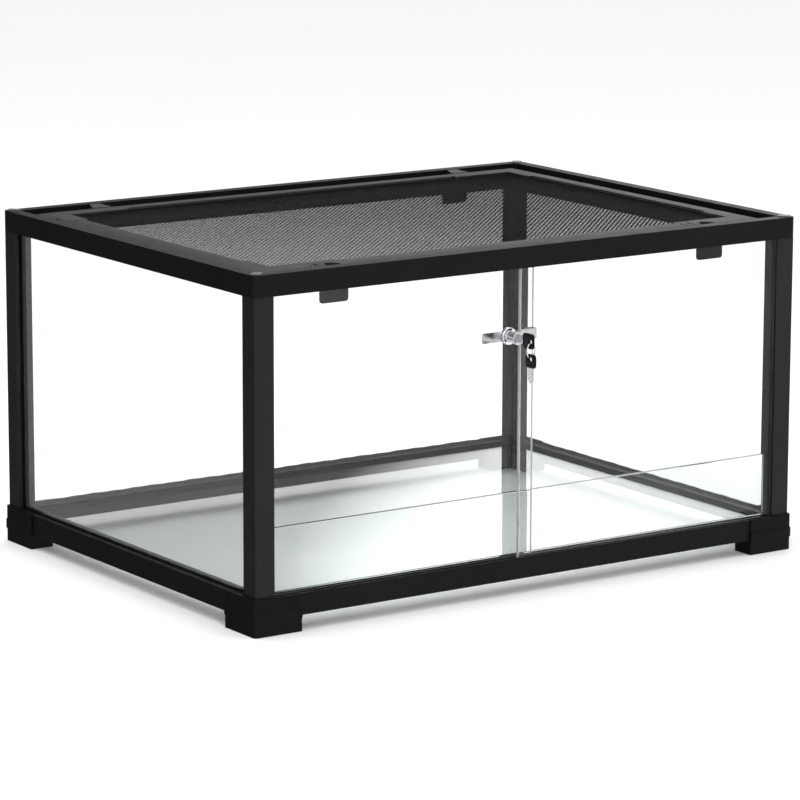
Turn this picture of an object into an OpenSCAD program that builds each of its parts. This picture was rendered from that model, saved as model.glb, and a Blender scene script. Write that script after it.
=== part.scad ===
/* [Overall size] */
// Width over the top rim, left to right
body_w = 610; // [450:5:900]
// Depth over the top rim, front to back
body_d = 450; // [350:5:600]
// Height from the ground to the top of the rim
body_h = 325; // [250:5:600]

/* [Base and feet] */
// Height of a foot, ground to its top edge
foot_h = 35; // [28:1:50]
// Length of each foot arm from its outer face
foot_arm = 50; // [35:1:80]
// Thickness of a foot arm below the rail
foot_t = 24; // [18:1:35]
// How far the foot stands proud of the rail
foot_proud = 1.8; // [1:0.1:4]
// Underside of the base rails above the ground
rail_z = 14.3; // [8:0.1:25]
// Height of the base rails
rail_h = 20; // [15:1:35]
// Width of the base rails
rail_w = 20; // [16:1:30]
// Thickness of the bottom panel
floor_t = 5; // [3:0.5:8]

/* [Posts and rim] */
// Section of a corner post, outer face to inner face
post_w = 21; // [15:1:30]
// Set-back of the post from the rim face
post_in = 0.8; // [0.3:0.1:3]
// Height of the top rim
rim_h = 20; // [15:1:35]
// Width of the rim wall seen from above
rim_t = 12; // [8:1:20]
// Inner edge of the ledge under the lid, from the rim face
ledge_in = 44; // [40:1:60]
// Thickness of that ledge
ledge_t = 4; // [2:0.5:6]
// Radius of the rim's outside corners
rim_r = 4.5; // [1:0.5:10]

/* [Glass] */
// Thickness of every pane
pane_t = 4; // [3:0.5:6]
// Outer face of the side and back panes, from the rim face
pane_in = 5; // [3:0.5:6]
// Top edge of the fixed front strip above the ground
strip_top = 93.6; // [60:1:150]

/* [Sliding doors] */
// Front face of the outer door, from the rim face
door_y1 = 2.6; // [2:0.1:4]
// Front face of the inner door, from the rim face
door_y2 = 10; // [9:0.1:14]
// Left edge of the outer door
door_edge1 = 289; // [200:1:400]
// Right edge of the inner door
door_edge2 = 308; // [220:1:420]

/* [Lid] */
// Outer side of the lid frame, from the rim face
lid_in = 28; // [20:1:40]
// Outer edge of the lid's sloping shoulder, from the rim face
lid_edge = 13; // [12.8:0.1:16]
// Width of the lid frame's flat top
lid_t = 14; // [10:1:25]
// Top of the lid frame below the top of the rim
lid_drop = 2; // [0:0.5:6]
// Distance of the latches from the rim's ends
latch_x = 93.5; // [80:0.5:140]
// Travel of a latch
latch_run = 5; // [3:0.5:8]

/* [Lock] */
// Centre of the lock barrel, from the left rim face
lock_x = 279; // [150:1:300]
// Height of the lock's centre line
lock_z = 242.5; // [120:0.5:280]

/* [Hidden] */
$fn = 48;

black = [0.12, 0.12, 0.12];
soft_black = [0.18, 0.18, 0.18];
grey = [0.33, 0.33, 0.33];
clear = [0.80, 0.90, 0.88, 0.35];
steel = [0.78, 0.78, 0.80];

rail_top = rail_z + rail_h;
rim_z = body_h - rim_h;
ledge_z = rim_z + ledge_t;
lid_top = body_h - lid_drop;
lid_out = lid_in + lid_t;
lid_lip = lid_out + 5;
mesh_z = lid_top - 3;
lid_under = ledge_z + 8.6;
post_out = post_w;
door_top = rim_z + 7;
door_bot = rail_top - 6.8;

// ---- placing -------------------------------------------------
// the keys stand out in front, so the middle of the whole is not the middle of the tank
shift = 15.85;
module home() { translate([-body_w / 2, shift - body_d / 2, 0]) children(); }
module to_back() { translate([0, 2 * shift, 0]) mirror([0, 1, 0]) children(); }
module box(a, b) { translate(a) cube([b[0] - a[0], b[1] - a[1], b[2] - a[2]]); }
// profile points are (depth, height), run along the width
module run_x(x0, x1, pts) {
    translate([x0, 0, 0]) rotate([90, 0, 90]) linear_extrude(x1 - x0) polygon(pts);
}
// profile points are (width, height), run along the depth
module run_y(y0, y1, pts) {
    translate([0, y1, 0]) rotate([90, 0, 0]) linear_extrude(y1 - y0) polygon(pts);
}
module flip_x() { mirror([1, 0, 0]) children(); }
module flip_y() { mirror([0, 1, 0]) children(); }
// what to take off an outside corner to leave radius r, corner at the origin
module corner_off(r, z0, z1) {
    difference() {
        box([-1, -1, z0], [r, r, z1]);
        translate([r, r, z0 - 1]) cylinder(r = r, h = z1 - z0 + 2);
    }
}

// ---- base ----------------------------------------------------
stem_a = 4.0;
stem_b = 12.0;
module stem_hole(z0, z1) { box([stem_a - 0.1, stem_a - 0.1, z0], [stem_b + 0.1, stem_b + 0.1, z1]); }

module rail_long(depth) {
    difference() {
        union() {
            box([0, 0, rail_z], [body_w, depth, rail_top]);
            box([rail_w + 10, depth, rail_top - 12.3], [body_w - rail_w - 10, 30, rail_top - 8.3]);
        }
        stem_hole(rail_z - 1, rail_top + 1);
        translate([body_w, 0, 0]) flip_x() stem_hole(rail_z - 1, rail_top + 1);
    }
}
track_y0 = 1.6;
track_y1 = 15.8;
module base_rail_front() {
    color(black) home() difference() {
        rail_long(rail_w + 0.4);
        box([post_w, track_y0, rail_top - 8], [body_w - post_w, track_y1, rail_top + 1]);
    }
}
module base_rail_back() { color(black) to_back() home() rail_long(rail_w + 0.4); }
module base_rail_side() {
    union() {
        box([0, rail_w + 0.4, rail_z], [rail_w, body_d - rail_w - 0.4, rail_top]);
        box([rail_w, rail_w + 0.4, rail_top - 12.3], [30, body_d - rail_w - 0.4, rail_top - 8.3]);
    }
}
module base_rail_left() { color(black) home() base_rail_side(); }
module base_rail_right() { color(black) flip_x() base_rail_left(); }

module foot() {
    p = foot_proud;
    q = foot_proud + 1;
    home() difference() {
        union() {
            box([-p, -p, 0], [foot_arm - p, foot_t - p, rail_z]);
            box([-p, -p, 0], [foot_t - p, foot_arm - p, rail_z]);
            box([-p, -p, 0], [foot_arm - p, 0, foot_h]);
            box([-p, -p, 0], [0, foot_arm - p, foot_h]);
            box([-q, -q, 12.5], [foot_arm - p, -p, 21.6]);
            box([-q, -q, 12.5], [-p, foot_arm - p, 21.6]);
            box([stem_a, stem_a, rail_z - 1], [stem_b, stem_b, rail_top + 9]);
        }
        translate([-q, -q, 0]) corner_off(5, 12.5, 21.6);
        translate([-p, -p, 0]) corner_off(4, -1, 12.5);
        translate([-p, -p, 0]) corner_off(4, 21.6, foot_h + 1);
    }
}
module foot_fl() { color(black) foot(); }
module foot_fr() { color(black) flip_x() foot(); }
module foot_bl() { color(black) to_back() foot(); }
module foot_br() { color(black) flip_x() to_back() foot(); }

// ---- posts ---------------------------------------------------
module post(rear) {
    home() difference() {
        box([post_in, post_in, rail_top], [post_w, post_w, rim_z]);
        stem_hole(rail_top - 1, rail_top + 10);
        stem_hole(rim_z - 18, rim_z + 1);
        box([pane_in, post_w - 4, rail_top - 1], [pane_in + pane_t, post_w + 1, rim_z + 1]);
        if (rear)
            box([post_w - 4, pane_in, rail_top - 1], [post_w + 1, pane_in + pane_t, rim_z + 1]);
        translate([post_in, post_in, 0]) corner_off(1.5, rail_top - 1, rim_z + 1);
    }
}
module post_fl() { color(soft_black) post(false); }
module post_fr() { color(soft_black) flip_x() post(false); }
module post_bl() { color(soft_black) to_back() post(true); }
module post_br() { color(soft_black) flip_x() to_back() post(true); }

// ---- top rim -------------------------------------------------
rib_a = lid_in - 2;
rib_b = lid_in - 0.5;
module mitre_x() {
    translate([0, 0, rim_z - 1]) linear_extrude(rim_h + 2)
        polygon([[0, 0], [body_w, 0], [body_w - 60, 60], [60, 60]]);
}
module mitre_y() {
    translate([0, 0, rim_z - 1]) linear_extrude(rim_h + 2)
        polygon([[0, 0], [60, 60], [60, body_d - 60], [0, body_d]]);
}
module rim_cuts() {
    corner_off(rim_r, rim_z - 1, body_h + 1);
    stem_hole(rim_z - 1, body_h + 1);
}
side_prof = [[0, rim_z], [0, body_h], [rim_t, body_h], [rim_t, ledge_z],
    [rib_a, ledge_z], [rib_a, ledge_z + 4], [rib_b, ledge_z + 4], [rib_b, ledge_z],
    [ledge_in, ledge_z], [ledge_in, rim_z],
    [pane_in + pane_t, rim_z], [pane_in + pane_t, rim_z + 6], [pane_in, rim_z + 6], [pane_in, rim_z]];
back_prof = side_prof;
front_prof = [[0, rim_z], [0, body_h], [rim_t, body_h], [rim_t, rim_z + 12],
    [track_y1 + 0.7, rim_z + 12], [track_y1 + 0.7, ledge_z],
    [rib_a, ledge_z], [rib_a, ledge_z + 4], [rib_b, ledge_z + 4], [rib_b, ledge_z],
    [ledge_in, ledge_z], [ledge_in, rim_z],
    [track_y1, rim_z], [track_y1, rim_z + 10], [track_y0, rim_z + 10], [track_y0, rim_z]];
module latch_notches(y0) {
    for (x = [latch_x, body_w - latch_x])
        box([x - 18.5, y0, rim_z - 1], [x + 18.5, lid_in - 0.2, ledge_z + 5]);
}
module rim_long(prof, y0) {
    difference() {
        intersection() { run_x(0, body_w, prof); mitre_x(); }
        rim_cuts();
        translate([body_w, 0, 0]) flip_x() rim_cuts();
        latch_notches(y0);
    }
}
module rim_front() { color(black) home() rim_long(front_prof, track_y1 + 0.7); }
module rim_back() { color(black) to_back() home() rim_long(back_prof, rim_t); }
module rim_side() {
    difference() {
        intersection() { run_y(0, body_d, side_prof); mitre_y(); }
        rim_cuts();
        translate([0, body_d, 0]) flip_y() rim_cuts();
    }
}
module rim_left() { color(black) home() rim_side(); }
module rim_right() { color(black) flip_x() rim_left(); }

// corner connector: a stem down into the post, and the small cap seen on the rim
module rim_corner() {
    home() difference() {
        union() {
            box([stem_a, stem_a, rim_z - 15], [stem_b, stem_b, body_h]);
            translate([7.6, 7.6, body_h]) rotate([0, 0, 45]) {
                translate([-4.2, -4.5, 0]) cube([8.4, 9, 1]);
                translate([-6, -2.7, 0]) cube([12, 5.4, 1]);
                for (a = [-1, 1], b = [-1, 1])
                    translate([a * 4.2, b * 2.7, 0]) cylinder(r = 1.8, h = 1);
            }
        }
    }
}
module rim_corner_fl() { color(grey) rim_corner(); }
module rim_corner_fr() { color(grey) flip_x() rim_corner(); }
module rim_corner_bl() { color(grey) to_back() rim_corner(); }
module rim_corner_br() { color(grey) flip_x() to_back() rim_corner(); }

// ---- glass ---------------------------------------------------
module pane_left() {
    color(clear) home() box([pane_in, post_w - 4, rail_top], [pane_in + pane_t, body_d - post_w + 4, rim_z + 6]);
}
module pane_right() { color(clear) flip_x() pane_left(); }
module pane_back() {
    color(clear) home() box([post_w - 4, body_d - pane_in - pane_t, rail_top], [body_w - post_w + 4, body_d - pane_in, rim_z + 6]);
}
module floor_panel() {
    color(clear) home() box([rail_w, rail_w + 0.4, rail_top - 8.3], [body_w - rail_w, body_d - rail_w - 0.4, rail_top - 8.3 + floor_t]);
}
module front_strip() {
    color(clear) home() box([post_w, track_y1 + 0.4, rail_top], [body_w - post_w, track_y1 + 0.4 + pane_t, strip_top]);
}

// ---- door tracks and doors -----------------------------------
module groove(y, z0, z1) { box([post_w - 1, y - 0.3, z0], [body_w - post_w + 1, y + pane_t + 0.3, z1]); }
module track_top() {
    color(black) home() difference() {
        box([post_w, track_y0, rim_z], [body_w - post_w, track_y1, rim_z + 10]);
        groove(door_y1, rim_z - 1, rim_z + 8.8);
        groove(door_y2, rim_z - 1, rim_z + 8.8);
    }
}
module track_bottom() {
    color(black) home() difference() {
        box([post_w, track_y0, rail_top - 8], [body_w - post_w, track_y1, rail_top + 0.3]);
        groove(door_y1, door_bot, rail_top + 1);
        groove(door_y2, door_bot, rail_top + 1);
    }
}
module door_left() {
    color(clear) home() box([post_w + 0.4, door_y2, door_bot], [door_edge2, door_y2 + pane_t, door_top]);
}
module door_right() {
    color(clear) home() box([door_edge1, door_y1, door_bot], [body_w - post_w - 0.4, door_y1 + pane_t, door_top]);
}

// ---- lock ----------------------------------------------------
bar_y = 7.0;
bar_t = 1.4;
bar_x0 = 249.5;
bar_h = 9.6;
tooth = 3;
teeth = 13;
key_y0 = -16;
key_len = 15.3;
key_half = 6.9;
eye_y = -27.6;
eye_r = 2.4;
ring_r = 6.85;
wire_r = 0.65;
hang = 1.2;
spare_eye = lock_z - 2 * hang - 2 * ring_r;

module lock_bar() {
    zb = lock_z - bar_h / 2;
    notch = [for (i = [0:teeth - 1]) for (p = [[i * tooth, 0], [i * tooth + 0.9, 0.9], [i * tooth + 1.6, 0.9], [i * tooth + 1.6, 0]]) [bar_x0 + 5 + p[0], zb + p[1]]];
    color(steel) home() union() {
        translate([0, bar_y + bar_t, 0]) rotate([90, 0, 0]) linear_extrude(bar_t)
            polygon(concat([[bar_x0 + 1.5, zb]], notch, [[door_edge2 + 1.4, zb], [door_edge2 + 1.4, zb + bar_h], [bar_x0 + 1.5, zb + bar_h], [bar_x0, zb + bar_h - 1.5], [bar_x0, zb + 1.5]]));
        box([door_edge2, bar_y, zb], [door_edge2 + 1.4, door_y2 + pane_t + 1.4, zb + bar_h]);
        box([door_edge2 - 8, door_y2 + pane_t, zb], [door_edge2 + 1.4, door_y2 + pane_t + 1.4, zb + bar_h]);
    }
}
// a turned piece about the lock's centre line; profile is (radius, distance in front of the rim face)
module turned(pts) {
    translate([lock_x, 0, lock_z]) rotate([90, 0, 0]) rotate_extrude($fn = 64) polygon(pts);
}
plug_r = 4.6;
module lock_barrel() {
    color(steel) home() difference() {
        turned([[0, -9.5], [7.4, -9.5], [8.2, -8.7], [8.2, -5.7], [7.4, -4.9], [5.6, -4.6],
            [5.6, 6.2], [6.1, 6.6], [6.1, 8.6], [5.7, 9], [0, 9]]);
        translate([lock_x, -10, lock_z]) rotate([-90, 0, 0]) cylinder(r = plug_r + 0.06, h = 14, $fn = 64);
        box([lock_x - 10, bar_y - 0.3, lock_z - bar_h / 2 - 0.3], [lock_x + 10, bar_y + bar_t + 0.3, lock_z + bar_h / 2 + 0.3]);
    }
}
blade_t = 1.8;
blade_h = 7.2;
module lock_plug() {
    color(steel) home() difference() {
        translate([lock_x, -9.2, lock_z]) rotate([-90, 0, 0]) cylinder(r = plug_r, h = 13.1, $fn = 64);
        box([lock_x - blade_t / 2, -10, lock_z - blade_h / 2], [lock_x + blade_t / 2, -0.7, lock_z + blade_h / 2]);
    }
}
// a key head: flat plate in the upright plane, stretched along l, eye at its far end
module head_plate(l, eye) {
    t = 2.6;
    rotate([0, 90, 0]) translate([0, 0, -t / 2]) difference() {
        union() {
            translate([-key_half + 3, 0, 0]) cube([2 * key_half - 6, l, t]);
            translate([-key_half, 3, 0]) cube([2 * key_half, l - 6, t]);
            for (a = [-1, 1], b = [3, l - 3])
                translate([a * (key_half - 3), b, 0]) cylinder(r = 3, h = t);
        }
        translate([0, eye, -1]) cylinder(r = eye_r, h = t + 2);
    }
}
module blade(l) {
    rotate([0, 90, 0]) translate([0, 0, -blade_t / 2]) linear_extrude(blade_t)
        polygon([[-blade_h / 2, 0], [blade_h / 2, 0], [blade_h / 2, -l + 3], [0.8, -l], [-0.8, -l], [-blade_h / 2, -l + 2],
            [-blade_h / 2, -l + 4.2], [-blade_h / 2 + 1.1, -l + 5], [-blade_h / 2, -l + 5.8], [-blade_h / 2, -l + 8.2], [-blade_h / 2 + 1.1, -l + 9], [-blade_h / 2, -l + 9.8]]);
}
module key_head() {
    color(black) home() translate([lock_x, key_y0, lock_z]) rotate([0, 0, 180]) head_plate(key_len, -eye_y + key_y0);
}
module key_blade() {
    color(steel) home() translate([lock_x, key_y0, lock_z]) rotate([0, 0, 180]) blade(15.3);
}
module key_ring() {
    color(steel) home() translate([lock_x, eye_y, lock_z - hang - ring_r]) rotate([0, 0, 22]) rotate([90, 0, 0])
        rotate_extrude($fn = 64) translate([ring_r, 0]) circle(r = wire_r, $fn = 24);
}
module spare_head() {
    color(black) home() translate([lock_x, eye_y, spare_eye - 8.1]) rotate([90, 0, 0]) head_plate(12.6, 8.1);
}
module spare_blade() {
    color(steel) home() translate([lock_x, eye_y, spare_eye - 8.1]) rotate([90, 0, 0]) blade(14);
}

// ---- lid -----------------------------------------------------
arm_x = 112;
arm_y = 84;
shoulder = [[lid_in, ledge_z], [lid_in, lid_under], [lid_edge, lid_under], [lid_edge, lid_under + 1.3], [lid_in + 0.7, lid_top]];
lid_prof = concat(shoulder, [[lid_out - 0.5, lid_top], [lid_out, lid_top - 0.5], [lid_out, mesh_z], [lid_lip, mesh_z], [lid_lip, ledge_z]]);
arm_prof = concat(shoulder, [[lid_lip - 0.5, lid_top], [lid_lip, lid_top - 0.5], [lid_lip, ledge_z]]);
module lid_rail_front() { color(grey) home() run_x(arm_x, body_w - arm_x, lid_prof); }
module lid_rail_back() { color(grey) to_back() home() run_x(arm_x, body_w - arm_x, lid_prof); }
module lid_rail_left() { color(grey) home() run_y(arm_y, body_d - arm_y, lid_prof); }
module lid_rail_right() { color(grey) flip_x() lid_rail_left(); }

module lid_arms() {
    h = lid_top - ledge_z + 2;
    intersection() {
        run_x(lid_edge, arm_x, arm_prof);
        translate([0, 0, ledge_z - 1]) linear_extrude(h) polygon([[0, 0], [arm_x, 0], [arm_x, lid_lip], [lid_lip, lid_lip]]);
    }
    intersection() {
        run_y(lid_edge, arm_y, arm_prof);
        translate([0, 0, ledge_z - 1]) linear_extrude(h) polygon([[0, 0], [lid_lip, lid_lip], [lid_lip, arm_y], [0, arm_y]]);
    }
}
// raised pad round the finger hole of a front latch
module pull_pad() {
    x = latch_x;
    hull() {
        box([x - 11, lid_edge, lid_top + 1.4], [x + 11, lid_edge + 14.8, lid_top + 1.6]);
        box([x - 18, lid_edge, lid_top - 0.3], [x + 18, lid_in + 5, lid_top - 0.2]);
        box([x - 18, lid_edge, lid_under], [x + 18, lid_in + 5, lid_under + 0.1]);
    }
}
// half an ellipse, flat side toward the rim
module pull_hole(side, half, deep, z0, z1) {
    intersection() {
        translate([latch_x, side, z0]) scale([half, deep, 1]) cylinder(r = 1, h = z1 - z0);
        box([latch_x - half, side, z0 - 1], [latch_x + half, side + deep, z1 + 1]);
    }
}
// ramp over a back latch
module ramp() {
    x = latch_x;
    hull() {
        box([x - 5.5, lid_edge, lid_under], [x + 5.5, lid_edge + 0.2, lid_top + 1.8]);
        box([x - 10, lid_in - 1, lid_under], [x + 10, lid_in, lid_top + 0.4]);
    }
}
// blind slit in the top between two points, its two ends of radius ra and rb
module slit(a, b, ra = 0.9, rb = 0.9, deep = 4.5) {
    home() hull() {
        translate([a[0], a[1], lid_top - deep]) cylinder(r = ra, h = 6, $fn = 16);
        translate([b[0], b[1], lid_top - deep]) cylinder(r = rb, h = 6, $fn = 16);
    }
}
module lid_corner(pull) {
    x = latch_x;
    home() difference() {
        union() {
            lid_arms();
            if (pull) pull_pad(); else ramp();
        }
        // room for the mesh
        box([lid_out, lid_out, mesh_z], [arm_x + 1, arm_y + 1, mesh_z + 0.6]);
        // latch pocket
        box([x - 13.4, lid_in - 1, ledge_z + 3.5], [x + 13.4, lid_lip - 4.2, ledge_z + 8.5]);
        if (pull) pull_hole(lid_edge + 1.6, 8, 12.4, lid_under - 1.5, lid_top + 3);
    }
}
module lid_corner_fl() {
    color(grey) difference() { lid_corner(true); slit([82.1, 34.3], [80.2, 24]); }
}
module lid_corner_fr() {
    color(grey) difference() {
        flip_x() lid_corner(true);
        slit([500, 36.4], [494.9, 25]);
        slit([510.5, 39.7], [505, 26.2]);
    }
}
module lid_corner_bl() {
    color(grey) difference() {
        to_back() lid_corner(false);
        slit([24.8, 364.5], [32.8, 367.1], 1.9, 0.8, 3.7);
        slit([24.7, 387.2], [24.8, 387.6], 1.8, 1.8, 3.4);
    }
}
module lid_corner_br() { color(grey) flip_x() to_back() lid_corner(false); }

module lid_mesh() {
    color([0.25, 0.25, 0.25]) home() box([lid_out, lid_out, mesh_z], [body_w - lid_out, body_d - lid_out, mesh_z + 0.6]);
}
bead = [[lid_out, mesh_z + 0.6], [lid_out, mesh_z + 1.4], [lid_out + 0.5, mesh_z + 1.7], [lid_out + 1.7, mesh_z + 1.7], [lid_out + 2.2, mesh_z + 1.4], [lid_out + 2.2, mesh_z + 0.6]];
module spline_front() { color(black) home() run_x(arm_x, body_w - arm_x, bead); }
module spline_back() { color(black) to_back() home() run_x(arm_x, body_w - arm_x, bead); }
module spline_left() { color(black) home() run_y(arm_y, body_d - arm_y, bead); }
module spline_right() { color(black) flip_x() spline_left(); }

// ---- latches -------------------------------------------------
// a tongue guided in the lid corner and a hanging tab
module latch(tab_z, pull, aside) {
    x = latch_x;
    t = x + aside;
    y0 = 17;
    top = ledge_z + 8.2;
    home() difference() {
        union() {
            box([x - 13, y0 + 1, ledge_z + 3.8], [x + 13, lid_lip - 4.6 - latch_run, top]);
            box([t - 15, y0, tab_z + 3], [t + 15, y0 + 2.2, top]);
            box([t - 12, y0, tab_z], [t + 12, y0 + 2.2, tab_z + 3.5]);
            for (s = [-1, 1])
                translate([t + s * 12, y0 + 2.2, tab_z + 3]) rotate([90, 0, 0]) cylinder(r = 3, h = 2.2);
        }
        if (pull) pull_hole(y0 + 3.6, 6.6, 7, ledge_z, top + 1);
    }
}
module latch_fl() { color(soft_black) latch(290.5, true, 0.5); }
module latch_fr() { color(soft_black) flip_x() latch(290.5, true, -2); }
module latch_bl() { color(soft_black) to_back() latch(290.5, false, 0); }
module latch_br() { color(soft_black) flip_x() to_back() latch(290.5, false, 0); }

base_rail_front();
base_rail_back();
base_rail_left();
base_rail_right();
foot_fl();
foot_fr();
foot_bl();
foot_br();
post_fl();
post_fr();
post_bl();
post_br();
rim_front();
rim_back();
rim_left();
rim_right();
rim_corner_fl();
rim_corner_fr();
rim_corner_bl();
rim_corner_br();
pane_left();
pane_right();
pane_back();
floor_panel();
front_strip();
track_top();
track_bottom();
door_left();
door_right();
lock_bar();
lock_barrel();
lock_plug();
key_head();
key_blade();
key_ring();
spare_head();
spare_blade();
lid_rail_front();
lid_rail_back();
lid_rail_left();
lid_rail_right();
lid_corner_fl();
lid_corner_fr();
lid_corner_bl();
lid_corner_br();
lid_mesh();
spline_front();
spline_back();
spline_left();
spline_right();
latch_fl();
latch_fr();
latch_bl();
latch_br();
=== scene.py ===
import math

import bmesh
import bpy
from mathutils import Matrix, Vector


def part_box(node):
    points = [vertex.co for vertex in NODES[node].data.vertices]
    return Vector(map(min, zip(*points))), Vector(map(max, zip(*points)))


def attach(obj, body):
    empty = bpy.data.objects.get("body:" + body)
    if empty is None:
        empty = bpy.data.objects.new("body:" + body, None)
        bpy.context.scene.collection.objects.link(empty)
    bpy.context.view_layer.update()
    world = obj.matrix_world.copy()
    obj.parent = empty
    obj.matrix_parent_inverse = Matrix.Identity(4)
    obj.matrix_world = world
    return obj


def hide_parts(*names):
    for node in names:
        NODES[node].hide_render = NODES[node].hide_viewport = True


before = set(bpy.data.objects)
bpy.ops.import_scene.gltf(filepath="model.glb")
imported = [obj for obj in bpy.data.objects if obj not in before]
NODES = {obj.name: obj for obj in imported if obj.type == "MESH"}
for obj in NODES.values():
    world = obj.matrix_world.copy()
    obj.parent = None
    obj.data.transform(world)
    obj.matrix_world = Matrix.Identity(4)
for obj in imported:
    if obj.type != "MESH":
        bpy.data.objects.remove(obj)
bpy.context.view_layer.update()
MM = 0.001
X, Y = 0, 1
CORNERS = ("fl", "fr", "bl", "br")
SIDES = ("front", "back", "left", "right")

# Widths of the rounded edges, in millimetres
RAIL_EDGE, FOOT_EDGE, LATCH_EDGE = 0.3, 0.35, 0.4
LID_RAIL_EDGE, LID_CORNER_EDGE = 0.35, 0.25
TRACK_EDGE, SPLINE_EDGE = 0.25, 0.25
BAR_EDGE, BARREL_EDGE, PLUG_EDGE, BLADE_EDGE, KEY_EDGE = 0.18, 0.25, 0.15, 0.12, 0.5
PANE_ARRIS, DOOR_ARRIS = 0.6, 0.5
EDGE_STEPS, KEY_EDGE_STEPS = 2, 3
ROUND_OVER_DEG = 25.0  # edges sharper than this are rounded
FLAT_WITHIN_DEG = 0.6  # faces this near to one plane become one face
WELD_DISTANCE = 1e-6

# The woven screen
WIRE_R = 0.157 * MM
OPENINGS = (188, 131)  # along X and along Y
WIRE_SIDES = 4
WIRE_SHORT = 0.2 * MM  # how far a wire ends inside the lid's opening

# Sealant beads: legs in millimetres, and the step along a bead in metres
POST_BEAD, BASE_BEAD = 3.0, 2.6
BEAD_STEP = 0.006
BEAD_ARC = 5  # faces across the hollow
BEAD_HOLLOW = 0.86

# Glass
GLASS_IOR = 1.5
LAMP_THROUGH_GLASS = 0.96
GLASS_SHINE = (0.3, 0.3, 0.3, 1.0)

# The studio
WHITE = (1.0, 1.0, 1.0, 1.0)
FLOOR_HALF = 30.0
DIM_WALL = (-0.62, 0.78, 0.0)  # where the dim wall is: behind and to the left


# ---------------------------------------------------------------- node helpers
def start_material(name):
    mat = bpy.data.materials.new(name)
    mat.use_nodes = True
    tree = mat.node_tree
    tree.nodes.clear()
    out = tree.nodes.new("ShaderNodeOutputMaterial")
    shader = tree.nodes.new("ShaderNodeBsdfPrincipled")
    tree.links.new(shader.outputs[0], out.inputs["Surface"])
    return mat, tree, shader


def add(tree, kind, links=(), **values):
    """A node with input values by name (underscores for spaces) and links as (input, socket)."""
    node = tree.nodes.new("ShaderNode" + kind)
    for key, value in values.items():
        key = key.replace("_", " ")
        if key in node.inputs:
            node.inputs[key].default_value = value
        else:
            setattr(node, key.replace(" ", "_"), value)
    for key, socket in links:
        tree.links.new(socket, node.inputs[key])
    return node


def object_coords(tree, stretch=None):
    coord = add(tree, "TexCoord").outputs["Object"]
    if stretch is None:
        return coord
    return add(tree, "Mapping", [("Vector", coord)], Scale=stretch).outputs[0]


def noise(tree, vector, scale, detail=3.0, rough=0.55):
    node = add(tree, "TexNoise", [("Vector", vector)], Scale=scale, Detail=detail, Roughness=rough)
    return node.outputs[0]


def cells(tree, vector, scale):
    return add(tree, "TexVoronoi", [("Vector", vector)], Scale=scale).outputs["Distance"]


def remap(tree, socket, low, high, to_low, to_high):
    node = add(tree, "MapRange", [("Value", socket)], From_Min=low, From_Max=high,
               To_Min=to_low, To_Max=to_high)
    return node.outputs[0]


def combine(tree, operation, a, b):
    """A Math node on two values, each a socket or a number."""
    node = tree.nodes.new("ShaderNodeMath")
    node.operation = operation
    for socket, value in zip(node.inputs, (a, b)):
        if isinstance(value, (int, float)):
            socket.default_value = value
        else:
            tree.links.new(value, socket)
    return node.outputs[0]


def tone(tree, shader, colour, socket, low, high, dark, light):
    """Colour that drifts from dark to light times the base as socket goes from low to high."""
    ramp = tree.nodes.new("ShaderNodeValToRGB")
    ramp.color_ramp.elements[0].position = low
    ramp.color_ramp.elements[1].position = high
    for element, share in zip(ramp.color_ramp.elements, (dark, light)):
        element.color = [min(c * share, 1.0) for c in colour] + [1.0]
    tree.links.new(socket, ramp.inputs[0])
    tree.links.new(ramp.outputs[0], shader.inputs["Base Color"])


def roughen(tree, shader, socket, low, high, smooth, rough):
    """Roughness that goes from smooth to rough as socket goes from low to high."""
    tree.links.new(remap(tree, socket, low, high, smooth, rough), shader.inputs["Roughness"])


def bump(tree, shader, layers):
    """Stacks bump layers given as (height socket, strength, distance in metres)."""
    normal = None
    for height, strength, distance in layers:
        links = [("Height", height)] + ([("Normal", normal)] if normal else [])
        normal = add(tree, "Bump", links, Strength=strength, Distance=distance).outputs[0]
    tree.links.new(normal, shader.inputs["Normal"])


# ---------------------------------------------------------------- materials
def moulded(name, colour, rough, specular, grain=0.35, grain_mm=0.55):
    """Moulded plastic: a fine grain, slow flow marks, and a little handling shine."""
    mat, tree, shader = start_material(name)
    at = object_coords(tree)
    flow = noise(tree, at, 14.0, 4.0)
    tone(tree, shader, colour, flow, 0.3, 0.72, 0.86, 1.16)
    handled = noise(tree, at, 46.0, 5.0, 0.65)
    roughen(tree, shader, handled, 0.3, 0.7, rough - 0.05, rough + 0.06)
    grains = cells(tree, at, 1000.0 / grain_mm)
    fine = noise(tree, at, 2600.0, 2.0)
    bump(tree, shader, [(flow, 0.25, 0.0004), (grains, grain, 0.00003), (fine, grain, 0.00002)])
    shader.inputs["Specular IOR Level"].default_value = specular
    return mat


def coated(name, colour, rough, specular):
    """Powder-coated extrusion: drawn lines along its length under a slight orange peel."""
    mat, tree, shader = start_material(name)
    at = object_coords(tree)
    drawn = noise(tree, object_coords(tree, (900.0, 900.0, 5.0)), 1.0, 3.0, 0.7)
    peel = noise(tree, at, 420.0, 2.0)
    slow = noise(tree, at, 11.0, 3.0)
    tone(tree, shader, colour, slow, 0.3, 0.7, 0.9, 1.12)
    roughen(tree, shader, drawn, 0.25, 0.75, rough - 0.05, rough + 0.07)
    bump(tree, shader, [(drawn, 0.25, 0.00004), (peel, 0.3, 0.00006)])
    shader.inputs["Specular IOR Level"].default_value = specular
    return mat


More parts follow.
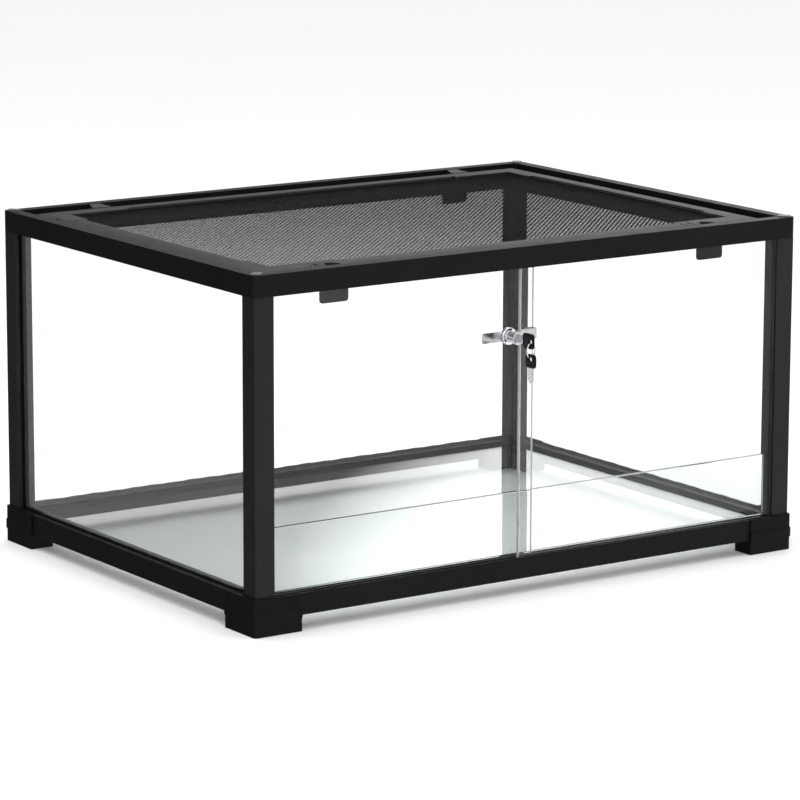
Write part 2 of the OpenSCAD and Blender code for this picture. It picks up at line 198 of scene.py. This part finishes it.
def plated(name, colour, rough, brushed=0.0):
    """Plated metal: bright, with hairline polishing marks, faint haze and tiny pits."""
    mat, tree, shader = start_material(name)
    at = object_coords(tree)
    haze = noise(tree, at, 210.0, 4.0, 0.6)
    tone(tree, shader, colour, haze, 0.3, 0.75, 0.9, 1.04)
    lines = noise(tree, object_coords(tree, (120.0, 3000.0, 5200.0)), 1.0, 2.0, 0.6)
    mixed = combine(tree, "ADD", combine(tree, "MULTIPLY", haze, 0.6),
                    combine(tree, "MULTIPLY", lines, 0.4))
    roughen(tree, shader, mixed, 0.3, 0.7, max(rough - 0.05, 0.03), rough + 0.09)
    pits = cells(tree, at, 1400.0)
    bump(tree, shader, [(lines, 0.12 + brushed, 0.00002), (pits, 0.08, 0.00002)])
    shader.inputs["Metallic"].default_value = 1.0
    return mat


def glossy_key(name, colour):
    """Glossy key-head plastic with orange peel and fine rub marks."""
    mat, tree, shader = start_material(name)
    at = object_coords(tree)
    rub = noise(tree, object_coords(tree, (300.0, 300.0, 2200.0)), 1.0, 3.0, 0.7)
    slow = noise(tree, at, 130.0, 3.0)
    tone(tree, shader, colour, slow, 0.3, 0.7, 0.8, 1.3)
    roughen(tree, shader, rub, 0.35, 0.75, 0.12, 0.26)
    bump(tree, shader, [(slow, 0.25, 0.00006), (rub, 0.1, 0.00001)])
    shader.inputs["Specular IOR Level"].default_value = 0.08
    shader.inputs["Coat Weight"].default_value = 0.06
    shader.inputs["Coat Roughness"].default_value = 0.06
    return mat


def rubbery(name, colour, rough, specular):
    """Squeezed-in sealant or cord: soft skin with small ripples."""
    mat, tree, shader = start_material(name)
    at = object_coords(tree)
    ripple = noise(tree, at, 160.0, 4.0)
    skin = noise(tree, at, 1500.0, 2.0)
    tone(tree, shader, colour, ripple, 0.3, 0.7, 0.85, 1.2)
    roughen(tree, shader, ripple, 0.3, 0.7, rough - 0.06, rough + 0.06)
    bump(tree, shader, [(ripple, 0.4, 0.0003), (skin, 0.2, 0.00003)])
    shader.inputs["Specular IOR Level"].default_value = specular
    return mat


def wire_coat(name, colour, rough, specular):
    """Coated wire: patchy tone and shine, and a pimpled coat."""
    mat, tree, shader = start_material(name)
    at = object_coords(tree)
    patchy = noise(tree, at, 90.0, 4.0)
    tone(tree, shader, colour, patchy, 0.3, 0.7, 0.8, 1.2)
    roughen(tree, shader, noise(tree, at, 900.0, 2.0), 0.3, 0.7, rough - 0.08, rough + 0.08)
    bump(tree, shader, [(noise(tree, at, 2200.0, 2.0), 0.2, 0.00003)])
    shader.inputs["Specular IOR Level"].default_value = specular
    return mat


def clear_glass(name, tint):
    """Float glass: faint roller wave and a trace of wiping haze. Lamps reach through it."""
    mat, tree, shader = start_material(name)
    at = object_coords(tree)
    wave = noise(tree, at, 6.0, 1.0)
    haze = noise(tree, object_coords(tree, (9.0, 9.0, 30.0)), 1.0, 5.0, 0.7)
    tone(tree, shader, tint, haze, 0.35, 0.75, 0.985, 1.0)
    roughen(tree, shader, haze, 0.45, 0.8, 0.0, 0.02)
    bump(tree, shader, [(wave, 0.15, 0.0006)])
    shader.inputs["IOR"].default_value = GLASS_IOR
    shader.inputs["Specular Tint"].default_value = GLASS_SHINE
    shader.inputs["Transmission Weight"].default_value = 1.0
    lamp = tree.nodes.new("ShaderNodeBsdfTransparent")
    lamp.inputs[0].default_value = [c * LAMP_THROUGH_GLASS for c in tint] + [1.0]
    mix = tree.nodes.new("ShaderNodeMixShader")
    path = tree.nodes.new("ShaderNodeLightPath")
    tree.links.new(path.outputs["Is Shadow Ray"], mix.inputs[0])
    tree.links.new(shader.outputs[0], mix.inputs[1])
    tree.links.new(lamp.outputs[0], mix.inputs[2])
    tree.links.new(mix.outputs[0], tree.nodes["Material Output"].inputs["Surface"])
    return mat


def ground_edge(name, tint):
    """The ground and polished edge of a pane: bright, slightly frosted, with grinding lines."""
    mat, tree, shader = start_material(name)
    lines = noise(tree, object_coords(tree, (700.0, 700.0, 40.0)), 1.0, 3.0, 0.7)
    tone(tree, shader, tint, lines, 0.3, 0.7, 0.9, 1.0)
    roughen(tree, shader, lines, 0.3, 0.7, 0.22, 0.4)
    bump(tree, shader, [(lines, 0.2, 0.00004)])
    shader.inputs["IOR"].default_value = GLASS_IOR
    shader.inputs["Transmission Weight"].default_value = 0.45
    return mat


# name, colour, roughness, specular level, then strength and size of the grain
M = {
    "rim": moulded("black_moulding", (0.0045, 0.0045, 0.0046), 0.44, 0.11),
    "foot": moulded("black_moulding_foot", (0.0042, 0.0042, 0.0043), 0.46, 0.09, 0.45, 0.7),
    "post": coated("black_powder_coat", (0.0084, 0.0084, 0.0086), 0.42, 0.23),
    "cap": moulded("grey_corner_cap", (0.085, 0.085, 0.085), 0.4, 0.4),
    "track": moulded("black_track", (0.009, 0.009, 0.0092), 0.42, 0.25),
    "lid": moulded("black_lid_moulding", (0.014, 0.014, 0.0142), 0.48, 0.22, 0.5, 0.6),
    "latch": moulded("black_latch", (0.0085, 0.008, 0.0078), 0.46, 0.15),
    "steel": plated("nickel_plate", (0.55, 0.55, 0.57), 0.15, 0.2),
    "chrome": plated("bright_plate", (0.68, 0.68, 0.70), 0.07),
    "key": glossy_key("black_key_plastic", (0.002, 0.002, 0.0022)),
    "spline": rubbery("black_spline", (0.008, 0.008, 0.008), 0.6, 0.12),
    "sealant": rubbery("black_sealant", (0.012, 0.013, 0.0125), 0.42, 0.3),
    "wire": wire_coat("black_coated_wire", (0.0045, 0.0045, 0.0046), 0.4, 0.05),
    "glass": clear_glass("float_glass", (0.97, 0.988, 0.98)),
    "edge": ground_edge("ground_glass_edge", (0.74, 0.75, 0.78)),
}


# ---------------------------------------------------------------- the CAD nodes
def soften(node, material, width, steps=EDGE_STEPS):
    """Gives a CAD node its finish and rounds its sharp edges; a width of 0 leaves them."""
    obj = NODES[node]
    obj.data.materials.clear()
    obj.data.materials.append(material)
    if width <= 0:
        return
    weld = obj.modifiers.new("join", "WELD")
    weld.merge_threshold = WELD_DISTANCE
    flat = obj.modifiers.new("flat", "DECIMATE")
    flat.decimate_type = "DISSOLVE"
    flat.angle_limit = math.radians(FLAT_WITHIN_DEG)
    bevel = obj.modifiers.new("round", "BEVEL")
    bevel.width = width * MM
    bevel.segments = steps
    bevel.limit_method = "ANGLE"
    bevel.angle_limit = math.radians(ROUND_OVER_DEG)
    bevel.use_clamp_overlap = True
    bevel.harden_normals = False
    even = obj.modifiers.new("shade", "WEIGHTED_NORMAL")
    even.keep_sharp = False
    even.weight = 60


for side in SIDES:
    soften("rim_" + side, M["rim"], RAIL_EDGE)
    soften("base_rail_" + side, M["rim"], RAIL_EDGE)
    soften("lid_rail_" + side, M["lid"], LID_RAIL_EDGE)
    soften("spline_" + side, M["spline"], SPLINE_EDGE)
for corner in CORNERS:
    soften("foot_" + corner, M["foot"], FOOT_EDGE)
    soften("post_" + corner, M["post"], RAIL_EDGE)
    soften("rim_corner_" + corner, M["cap"], RAIL_EDGE)
    soften("lid_corner_" + corner, M["lid"], LID_CORNER_EDGE)
    soften("latch_" + corner, M["latch"], LATCH_EDGE)
soften("track_top", M["track"], TRACK_EDGE)
soften("track_bottom", M["track"], TRACK_EDGE)
soften("lock_bar", M["steel"], BAR_EDGE)
soften("lock_barrel", M["chrome"], BARREL_EDGE)
soften("lock_plug", M["chrome"], PLUG_EDGE)
soften("key_blade", M["steel"], BLADE_EDGE)
soften("spare_blade", M["steel"], BLADE_EDGE)
soften("key_head", M["key"], KEY_EDGE, KEY_EDGE_STEPS)
soften("spare_head", M["key"], KEY_EDGE, KEY_EDGE_STEPS)
soften("key_ring", M["chrome"], 0.0)


# ---------------------------------------------------------------- glass
def make_object(name, mesh, materials, body, smooth=False):
    obj = bpy.data.objects.new(name, mesh)
    bpy.context.scene.collection.objects.link(obj)
    for material in materials:
        mesh.materials.append(material)
    if smooth:
        mesh.polygons.foreach_set("use_smooth", [True] * len(mesh.polygons))
    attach(obj, body)
    return obj


def pane(name, node, body, arris=PANE_ARRIS, ground=None):
    """A sheet of glass with small arrises. A door's ground side (-1 or 1 along X) has a bare
    ground edge, and its other side a dark seal."""
    low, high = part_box(node)
    mesh = bpy.data.meshes.new(name)
    bm = bmesh.new()
    bmesh.ops.create_cube(bm, size=1.0)
    for vert in bm.verts:
        vert.co = Vector([low[i] if vert.co[i] < 0 else high[i] for i in range(3)])
    bmesh.ops.bevel(bm, geom=bm.edges[:], offset=arris * MM, segments=2, profile=0.5,
                    affect="EDGES")
    for face in bm.faces:
        if ground and abs(face.normal.x) > 0.3:
            face.material_index = 1 if face.normal.x * ground > 0 else 2
    bm.to_mesh(mesh)
    bm.free()
    materials = [M["glass"]] + ([M["edge"], M["sealant"]] if ground else [])
    obj = make_object(name, mesh, materials, body)
    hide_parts(node)


pane("glass_left", "pane_left", "frame")
pane("glass_right", "pane_right", "frame")
pane("glass_back", "pane_back", "frame")
pane("glass_floor", "floor_panel", "frame")
pane("glass_strip", "front_strip", "frame")
pane("glass_door_left", "door_left", "left_door", DOOR_ARRIS, 1)
pane("glass_door_right", "door_right", "right_door", DOOR_ARRIS, -1)


# ---------------------------------------------------------------- woven screen
def wires(name, along):
    """One layer of a plain weave: wires along X or Y that pass over and under the ones across
    them, with one bend at each crossing."""
    across = 1 - along
    low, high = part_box("lid_mesh")
    mid = (low.z + high.z) / 2
    pitch = [(high[i] - low[i]) / OPENINGS[i] for i in (X, Y)]
    crossings = [low[along] + (j + 0.5) * pitch[along] for j in range(OPENINGS[along])]
    runs = [low[along] + WIRE_SHORT] + crossings + [high[along] - WIRE_SHORT]
    verts, faces = [], []
    for i in range(OPENINGS[across]):
        side = low[across] + (i + 0.5) * pitch[across]
        base = len(verts)
        for k, run in enumerate(runs):
            up = WIRE_R if (i + k - 1 + along) % 2 == 0 else -WIRE_R
            if k in (0, len(runs) - 1):
                up = 0.0
            for turn in range(WIRE_SIDES):
                angle = 2 * math.pi * turn / WIRE_SIDES
                point = [0.0, 0.0, mid + up + math.sin(angle) * WIRE_R]
                point[across] = side + math.cos(angle) * WIRE_R
                point[along] = run
                verts.append(point)
        for k in range(len(runs) - 1):
            for turn in range(WIRE_SIDES):
                a = base + k * WIRE_SIDES + turn
                b = base + k * WIRE_SIDES + (turn + 1) % WIRE_SIDES
                quad = (a, b, b + WIRE_SIDES, a + WIRE_SIDES)
                faces.append(quad if along == X else quad[::-1])
    mesh = bpy.data.meshes.new(name)
    mesh.from_pydata(verts, [], faces)
    mesh.update()
    return make_object(name, mesh, [M["wire"]], "lid", smooth=True)


for piece in [wires("screen_wires_deep", Y), wires("screen_wires_wide", X)]:
    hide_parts("lid_mesh")


# ---------------------------------------------------------------- sealant beads
def bead(name, start, end, leg_a, leg_b, size):
    """A hollow fillet of sealant from start to end, between faces that leg_a and leg_b follow."""
    start, end, leg_a, leg_b = Vector(start), Vector(end), Vector(leg_a), Vector(leg_b)
    run = end - start
    steps = max(int(run.length / BEAD_STEP), 2)
    verts, faces = [], []
    for k in range(steps + 1):
        wander = 1.0 + 0.10 * math.sin(k * 1.7) + 0.07 * math.sin(k * 0.61 + 1.0)
        centre = start + run * (k / steps)
        leg = size * MM * wander
        verts.append(centre)
        for n in range(BEAD_ARC + 1):
            angle = math.pi / 2 * n / BEAD_ARC
            reach_a = 1 - math.sin(angle) * BEAD_HOLLOW if n < BEAD_ARC else 0.0
            reach_b = 1 - math.cos(angle) * BEAD_HOLLOW if n > 0 else 0.0
            verts.append(centre + leg_a * leg * reach_a + leg_b * leg * reach_b)
    ring = BEAD_ARC + 2
    for k in range(steps):
        for n in range(ring):
            a, b = k * ring + n, k * ring + (n + 1) % ring
            faces.append((a, b, b + ring, a + ring))
    faces.append(tuple(range(ring - 1, -1, -1)))
    faces.append(tuple(steps * ring + n for n in range(ring)))
    mesh = bpy.data.meshes.new(name)
    mesh.from_pydata([tuple(v) for v in verts], [], faces)
    bm = bmesh.new()
    bm.from_mesh(mesh)
    bmesh.ops.recalc_face_normals(bm, faces=bm.faces[:])
    bm.to_mesh(mesh)
    bm.free()
    make_object(name, mesh, [M["sealant"]], "frame", smooth=True)


def sealant():
    """Beads inside the side and back panes, where they meet the posts and the base rails."""
    post_fl, post_bl, post_br = (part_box("post_" + corner) for corner in ("fl", "bl", "br"))
    z0, z1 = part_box("base_rail_left")[1].z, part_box("rim_left")[0].z
    y_front, y_rear = post_fl[1].y, post_bl[0].y
    x_left, x_right = post_bl[1].x, post_br[0].x
    y_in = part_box("pane_back")[0].y
    panes = (("left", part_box("pane_left")[1].x, 1), ("right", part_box("pane_right")[0].x, -1))
    for tag, x, sign in panes:
        bead(f"seal_{tag}_front", (x, y_front, z0), (x, y_front, z1),
             (sign, 0, 0), (0, 1, 0), POST_BEAD)
        bead(f"seal_{tag}_rear", (x, y_rear, z0), (x, y_rear, z1),
             (sign, 0, 0), (0, -1, 0), POST_BEAD)
        bead(f"seal_{tag}_base", (x, y_front, z0), (x, y_rear, z0),
             (sign, 0, 0), (0, 0, 1), BASE_BEAD)
    for tag, x, sign in (("left", x_left, 1), ("right", x_right, -1)):
        bead(f"seal_back_{tag}", (x, y_in, z0), (x, y_in, z1),
             (sign, 0, 0), (0, -1, 0), POST_BEAD)
    bead("seal_back_base", (x_left, y_in, z0), (x_right, y_in, z0),
         (0, -1, 0), (0, 0, 1), BASE_BEAD)


sealant()


# ---------------------------------------------------------------- stage, light and camera
def stage():
    """A pale floor, which the reflections leave out."""
    mesh = bpy.data.meshes.new("floor")
    corners = [(-1, -1), (1, -1), (1, 1), (-1, 1)]
    mesh.from_pydata([(x * FLOOR_HALF, y * FLOOR_HALF, 0) for x, y in corners], [], [(0, 1, 2, 3)])
    floor = bpy.data.objects.new("floor", mesh)
    bpy.context.scene.collection.objects.link(floor)
    mat, tree, shader = start_material("pale_floor")
    patches = noise(tree, object_coords(tree), 3.0)
    tone(tree, shader, (0.93, 0.93, 0.93), patches, 0.3, 0.7, 0.99, 1.0)
    shader.inputs["Roughness"].default_value = 0.8
    shader.inputs["Specular IOR Level"].default_value = 0.1
    mesh.materials.append(mat)
    floor.visible_glossy = False


def surroundings():
    """White all round, but the gloss mirrors a bright room with one dim wall."""
    world = bpy.data.worlds.new("studio")
    bpy.context.scene.world = world
    world.use_nodes = True
    tree = world.node_tree
    toward = add(tree, "TexCoord").outputs["Generated"]
    facing = tree.nodes.new("ShaderNodeVectorMath")
    facing.operation = "DOT_PRODUCT"
    facing.inputs[1].default_value = DIM_WALL
    tree.links.new(toward, facing.inputs[0])
    wall = remap(tree, facing.outputs["Value"], 0.25, 0.85, 1.0, 0.12)
    # lamps and gaps between them, which only the plated parts are smooth enough to show
    lamps = remap(tree, noise(tree, toward, 5.0, 0.0), 0.45, 0.55, 0.05, 1.95)
    room = combine(tree, "MULTIPLY", wall, lamps)
    glossy = add(tree, "LightPath").outputs["Is Glossy Ray"]
    plain = remap(tree, glossy, 0.0, 1.0, 1.0, 0.0)
    mirrored = combine(tree, "MULTIPLY", glossy, room)
    back = tree.nodes["Background"]
    tree.links.new(combine(tree, "ADD", plain, mirrored), back.inputs[1])
    back.inputs[0].default_value = WHITE


def softbox(name, place, target, size, power):
    lamp = bpy.data.lights.new(name, "AREA")
    lamp.shape = "RECTANGLE"
    lamp.size, lamp.size_y = size
    lamp.energy = power
    obj = bpy.data.objects.new(name, lamp)
    obj.location = place
    aim = Vector(target) - Vector(place)
    obj.rotation_euler = aim.to_track_quat("-Z", "Y").to_euler()
    bpy.context.scene.collection.objects.link(obj)


def camera():
    """The camera, from its right, down and ahead directions, turned by half a picture point."""
    lens = bpy.data.cameras.new("camera")
    lens.lens = 180.965
    lens.sensor_width = 36.0
    lens.clip_end = 100.0
    obj = bpy.data.objects.new("camera", lens)
    obj.location = (-2.144106, -3.123731, 0.917115)
    right = Vector((0.8256945, -0.5641098, 0.0029473))
    down = Vector((-0.1102461, -0.1664881, -0.979861))
    half_point = 0.000124
    ahead = Vector((0.5532399, 0.8087409, -0.1996592)) - (right + down) * half_point
    back = -ahead.normalized()
    up = back.cross(right).normalized()
    obj.rotation_euler = Matrix((up.cross(back), up, back)).transposed().to_euler()
    bpy.context.scene.collection.objects.link(obj)
    bpy.context.scene.camera = obj


stage()
surroundings()
softbox("top_softbox", (0.0, 0.1, 2.2), (0.0, 0.0, 0.2), (2.6, 2.2), 30.0)
softbox("front_softbox", (-1.2, -2.4, 1.6), (0.0, 0.0, 0.2), (1.4, 1.4), 12.0)
camera()
bpy.context.scene.view_settings.view_transform = "Standard"
